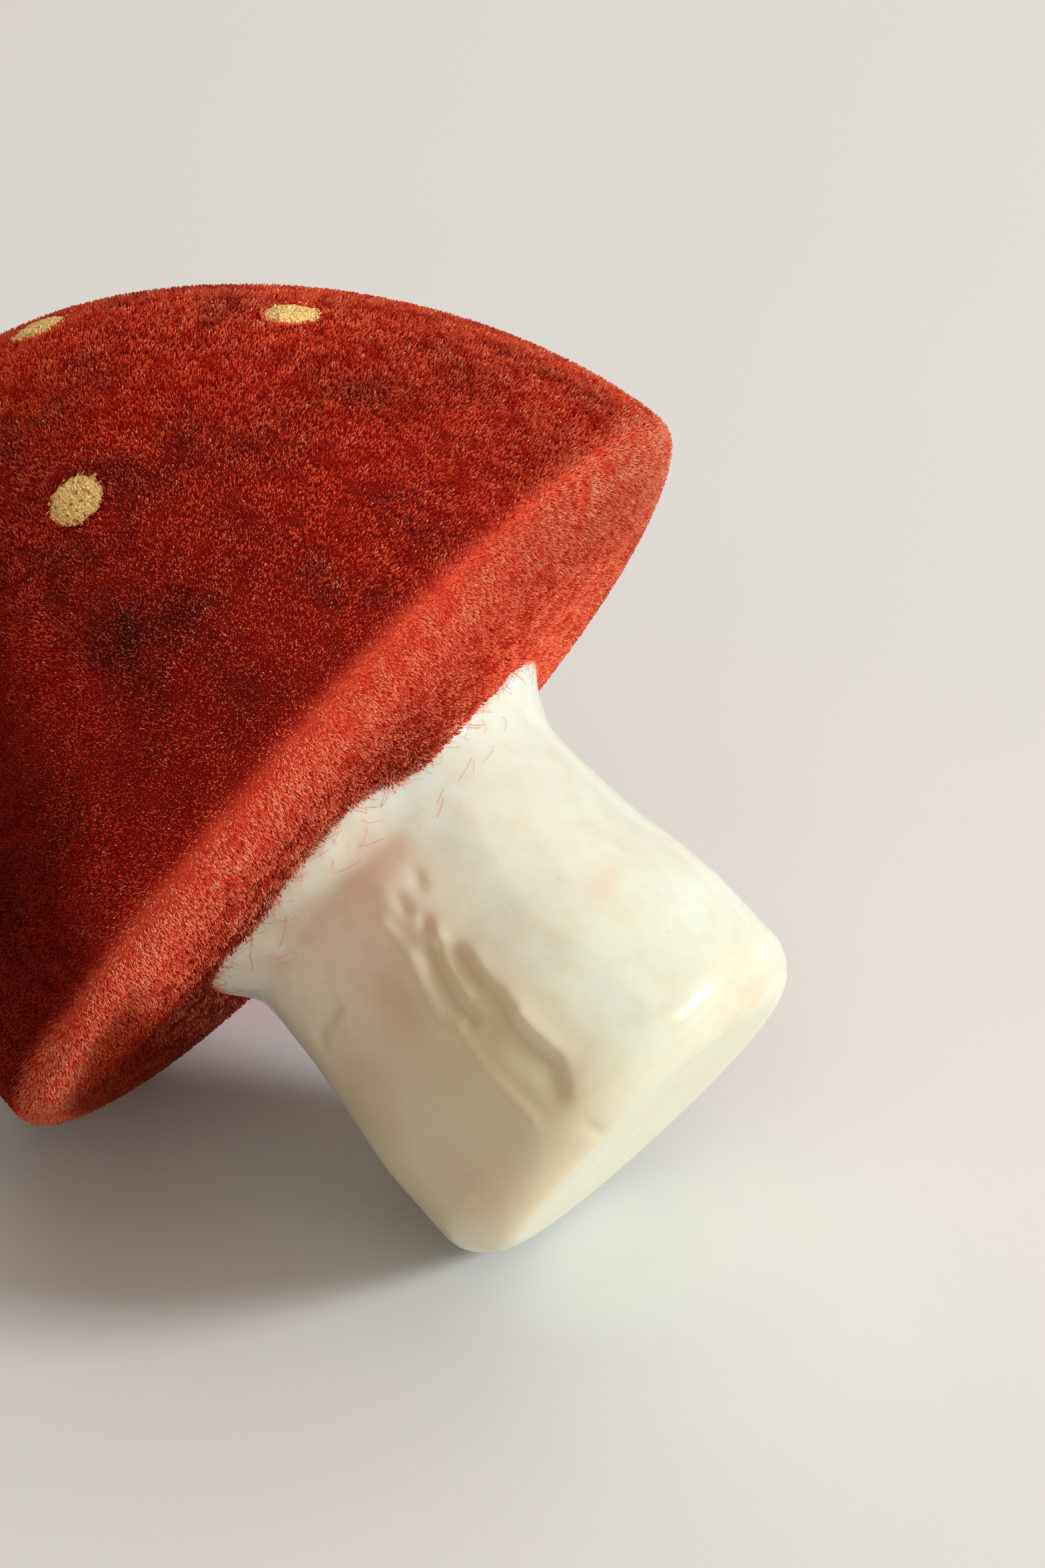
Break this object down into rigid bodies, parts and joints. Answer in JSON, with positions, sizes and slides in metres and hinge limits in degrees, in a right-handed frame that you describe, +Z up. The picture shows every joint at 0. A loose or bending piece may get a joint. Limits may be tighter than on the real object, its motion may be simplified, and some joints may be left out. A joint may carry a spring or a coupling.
{
  "type": "mushroom ornament",
  "caption": "Toadstool ornament: a domed cap flocked in red velvet with gold painted dots, on a glossy cream stem with a flared collar. It lies on its side or stands on its flat foot.",
  "frame": {"origin": "on the table the ornament lies on, in the middle of its footprint box", "axes": "+Z up from the table; +X along the table from the cap towards the foot; the stem's axis lies in the XZ plane's direction and dips towards the foot"},
  "size_m": [0.1094, 0.0994, 0.0934],
  "materials": {
    "cream_gloss": "cast resin with a clear glossy glaze, cream with pinkish tan mottling",
    "cast_core": "bare casting, hidden under the velvet",
    "red_velvet": "short deep red flock pile, crushed in patches",
    "gold_paint": "granular metallic gold paint over matted pile"
  },
  "bodies": {
    "root": {"stem": "cream_gloss", "cap_core": "cast_core", "velvet_coat": "red_velvet", "gold_dot_1": "gold_paint", "gold_dot_2": "gold_paint", "gold_dot_3": "gold_paint", "gold_dot_4": "gold_paint", "gold_dot_5": "gold_paint", "gold_dot_6": "gold_paint", "gold_dot_7": "gold_paint", "gold_dot_8": "gold_paint", "gold_dot_9": "gold_paint", "gold_dot_10": "gold_paint", "gold_dot_11": "gold_paint"}
  },
  "joints": []
}
